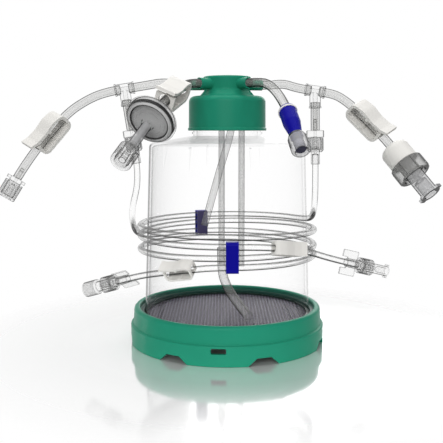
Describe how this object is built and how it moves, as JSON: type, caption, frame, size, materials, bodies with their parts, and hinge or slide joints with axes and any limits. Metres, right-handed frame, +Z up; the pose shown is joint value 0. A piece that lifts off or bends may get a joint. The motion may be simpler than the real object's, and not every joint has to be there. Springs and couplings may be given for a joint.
{
  "type": "bench bioreactor",
  "caption": "Closed bench bioreactor: clear vessel on a vented base ring with a gas-permeable floor, ported screw cap and clear tubing with clamps, filter and connectors.",
  "frame": {"origin": "centre of the base ring's lower edge, on the surface it stands on", "axes": "+Z up along the vessel's axis, -Y towards the front, where the filter and the sample port hang, +X towards the quick coupling"},
  "size_m": [0.2996, 0.1805, 0.1878],
  "materials": {
    "green_plastic": "smooth moulded, semi-gloss",
    "clear_plastic": "clear, polished",
    "clear_fitting": "clear, lightly frosted by its ribs",
    "clear_tubing": "clear flexible tubing",
    "soft_tubing": "soft thick-walled tubing, clear but slightly milky",
    "dip_tubing": "clear tube, slightly grey inside the vessel",
    "white_plastic": "smooth white",
    "pale_plastic": "translucent white",
    "blue_plastic": "smooth blue",
    "grey_plastic": "dark grey",
    "mesh": "woven mesh",
    "membrane": "thin clear silicone sheet",
    "silicone": "soft seal",
    "filter_media": "fine filter sheet"
  },
  "bodies": {
    "fixed_set": {"base_ring": "green_plastic", "cap": "green_plastic", "cap_gasket": "silicone", "coupling_body": "white_plastic", "coupling_stub": "clear_fitting", "dip_tip": "dip_tubing", "filter_back": "clear_fitting", "filter_disc": "filter_media", "filter_front": "clear_fitting", "filter_outlet_tube": "soft_tubing", "filter_socket": "clear_fitting", "filter_tube": "soft_tubing", "floor_membrane": "membrane", "foot_seal": "silicone", "front_strap": "blue_plastic", "left_coil_tube": "clear_tubing", "left_drop_plug": "clear_fitting", "left_drop_socket": "clear_fitting", "left_end_socket": "clear_fitting", "left_inner_tube": "soft_tubing", "left_low_hub": "clear_fitting", "left_outer_tube": "soft_tubing", "left_stem_tube": "soft_tubing", "left_tee": "clear_fitting", "long_dip_tube": "dip_tubing", "mid_dip_tube": "dip_tubing", "rear_strap": "blue_plastic", "right_coil_tube": "clear_tubing", "right_drop_plug": "clear_fitting", "right_drop_socket": "clear_fitting", "right_inner_tube": "soft_tubing", "right_low_hub": "clear_fitting", "right_low_socket": "clear_fitting", "right_outer_tube": "soft_tubing", "right_stem_tube": "soft_tubing", "right_tee": "clear_fitting", "sample_dip_tube": "dip_tubing", "sample_ring": "white_plastic", "sample_shroud": "clear_fitting", "sample_sleeve": "blue_plastic", "sample_tube": "soft_tubing", "support_mesh": "mesh", "support_tray": "white_plastic", "vessel": "clear_plastic"},
    "left_clamp": {"left_clamp": "white_plastic"},
    "filter_clamp": {"filter_clamp": "white_plastic"},
    "right_clamp": {"right_clamp": "white_plastic"},
    "left_low_clamp": {"left_low_clamp": "white_plastic"},
    "right_low_clamp": {"right_low_clamp": "white_plastic"},
    "left_end_cap": {"left_end_cap": "clear_fitting"},
    "filter_cap": {"filter_cap": "clear_fitting"},
    "left_low_plug": {"left_low_plug": "clear_fitting"},
    "left_drop_ring": {"left_drop_ring": "clear_fitting"},
    "right_drop_ring": {"right_drop_ring": "clear_fitting"},
    "left_low_ring": {"left_low_ring": "clear_fitting"},
    "right_low_ring": {"right_low_ring": "clear_fitting"},
    "coupling_ring": {"coupling_ring": "pale_plastic"},
    "sample_piston": {"sample_piston": "grey_plastic"}
  },
  "joints": [
    {"name": "left_clamp_slide", "type": "slide", "parent": "fixed_set", "child": "left_clamp", "axis": [-0.6041, -0.2614, -0.7528], "range_m": [-0.004, 0.002]},
    {"name": "filter_clamp_slide", "type": "slide", "parent": "fixed_set", "child": "filter_clamp", "axis": [-0.3295, -0.8842, -0.331], "range_m": [-0.002, 0.0015]},
    {"name": "right_clamp_slide", "type": "slide", "parent": "fixed_set", "child": "right_clamp", "axis": [0.6583, -0.293, -0.6934], "range_m": [-0.001, 0.002]},
    {"name": "left_low_clamp_slide", "type": "slide", "parent": "fixed_set", "child": "left_low_clamp", "axis": [-0.8981, 0.4069, -0.1668], "range_m": [-0.001, 0.002]},
    {"name": "right_low_clamp_slide", "type": "slide", "parent": "fixed_set", "child": "right_low_clamp", "axis": [0.89, 0.4375, -0.1287], "range_m": [-0.001, 0.002]},
    {"name": "left_end_cap_pull", "type": "slide", "parent": "fixed_set", "child": "left_end_cap", "axis": [-0.4969, -0.1988, -0.8447], "range_m": [0, 0.012]},
    {"name": "filter_cap_pull", "type": "slide", "parent": "fixed_set", "child": "filter_cap", "axis": [-0.3417, -0.7453, -0.5725], "range_m": [0, 0.012]},
    {"name": "left_low_plug_pull", "type": "slide", "parent": "fixed_set", "child": "left_low_plug", "axis": [-0.8723, 0.3852, -0.3011], "range_m": [0, 0.012]},
    {"name": "left_drop_ring_turn", "type": "hinge", "parent": "fixed_set", "child": "left_drop_ring", "pos_m": [-0.06743, 0.0057, 0.1444], "axis": [0.1622, -0.0841, -0.9832], "range_deg": [0, 180]},
    {"name": "right_drop_ring_turn", "type": "hinge", "parent": "fixed_set", "child": "right_drop_ring", "pos_m": [0.06238, 0.00133, 0.14421], "axis": [0.0126, -0.0614, -0.998], "range_deg": [0, 180]},
    {"name": "left_low_ring_turn", "type": "hinge", "parent": "fixed_set", "child": "left_low_ring", "pos_m": [-0.0797, -0.03385, 0.04739], "axis": [-0.8723, 0.3852, -0.3011], "range_deg": [0, 180]},
    {"name": "right_low_ring_turn", "type": "hinge", "parent": "fixed_set", "child": "right_low_ring", "pos_m": [0.09401, -0.02631, 0.05778], "axis": [0.8989, 0.3576, -0.2533], "range_deg": [0, 180]},
    {"name": "coupling_ring_turn", "type": "hinge", "parent": "fixed_set", "child": "coupling_ring", "pos_m": [0.1229, -0.0287, 0.12405], "axis": [0.5, -0.5, -0.7071], "range_deg": [0, 180]},
    {"name": "sample_piston_press", "type": "slide", "parent": "fixed_set", "child": "sample_piston", "axis": [-0.1644, 0.755, 0.6347], "range_m": [0, 0.0035], "stiffness_N_per_m": 400}
  ]
}
